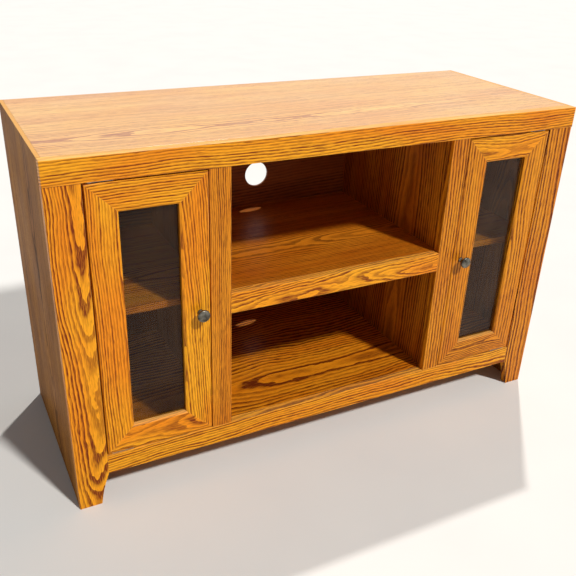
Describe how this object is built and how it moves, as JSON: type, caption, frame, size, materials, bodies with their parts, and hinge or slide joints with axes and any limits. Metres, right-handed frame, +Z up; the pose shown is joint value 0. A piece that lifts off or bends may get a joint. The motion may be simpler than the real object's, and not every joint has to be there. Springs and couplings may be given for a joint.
{
  "type": "media cabinet",
  "caption": "Oak media cabinet with an open two-level centre bay and a glazed, mitre-framed door with a round knob on each side.",
  "frame": {"origin": "on the floor, under the middle of the cabinet with its knobs", "axes": "+X to the right as seen from the front, +Y to the back, +Z up"},
  "size_m": [1.22, 0.493, 0.765],
  "materials": {
    "oak_veneer": "golden oak veneer, satin lacquer",
    "solid_oak": "golden solid oak, satin lacquer",
    "back_veneer": "golden oak veneer, satin lacquer",
    "cleat_wood": "plain sawn wood",
    "smoked_glass": "smoked float glass",
    "pewter": "dark pewter, satin",
    "zinc_steel": "zinc-plated",
    "brown_plastic": "moulded, matt",
    "nylon": "moulded, matt"
  },
  "bodies": {
    "case": {"bottom_panel": "oak_veneer", "top_panel": "oak_veneer", "back_panel": "back_veneer", "fascia": "solid_oak", "bottom_rail": "solid_oak", "centre_shelf": "oak_veneer", "centre_shelf_edge": "solid_oak", "top_front_cleats": "cleat_wood", "top_rear_cleats": "cleat_wood", "glue_blocks": "cleat_wood", "back_panel_screws": "zinc_steel", "catch_screws": "zinc_steel", "left_side_panel": "oak_veneer", "left_divider": "oak_veneer", "left_front_stile": "solid_oak", "left_divider_stile": "solid_oak", "left_shelf": "oak_veneer", "left_shelf_edging": "solid_oak", "left_shelf_pins": "zinc_steel", "left_catch_block": "cleat_wood", "left_catch": "brown_plastic", "left_catch_magnet": "zinc_steel", "left_pivot_plates": "zinc_steel", "left_pivot_washers": "nylon", "left_plate_screws": "zinc_steel", "right_side_panel": "oak_veneer", "right_divider": "oak_veneer", "right_front_stile": "solid_oak", "right_divider_stile": "solid_oak", "right_shelf": "oak_veneer", "right_shelf_edging": "solid_oak", "right_shelf_pins": "zinc_steel", "right_catch_block": "cleat_wood", "right_catch": "brown_plastic", "right_catch_magnet": "zinc_steel", "right_pivot_plates": "zinc_steel", "right_pivot_washers": "nylon", "right_plate_screws": "zinc_steel"},
    "left_door": {"left_door_hinge_stile": "solid_oak", "left_door_latch_stile": "solid_oak", "left_door_top_rail": "solid_oak", "left_door_bottom_rail": "solid_oak", "left_door_glass": "smoked_glass", "left_door_glass_stops": "solid_oak", "left_door_knob": "pewter", "left_door_knob_screw": "zinc_steel", "left_door_strike": "zinc_steel", "left_door_leaves": "zinc_steel", "left_door_leaf_screws": "zinc_steel"},
    "right_door": {"right_door_hinge_stile": "solid_oak", "right_door_latch_stile": "solid_oak", "right_door_top_rail": "solid_oak", "right_door_bottom_rail": "solid_oak", "right_door_glass": "smoked_glass", "right_door_glass_stops": "solid_oak", "right_door_knob": "pewter", "right_door_knob_screw": "zinc_steel", "right_door_strike": "zinc_steel", "right_door_leaves": "zinc_steel", "right_door_leaf_screws": "zinc_steel"}
  },
  "joints": [
    {"name": "left_door_hinge", "type": "hinge", "parent": "case", "child": "left_door", "pos_m": [-0.528, -0.2115, 0.42025], "axis": [0, 0, -1], "range_deg": [0, 100]},
    {"name": "right_door_hinge", "type": "hinge", "parent": "case", "child": "right_door", "pos_m": [0.528, -0.2115, 0.42025], "axis": [0, 0, 1], "range_deg": [0, 100]}
  ]
}
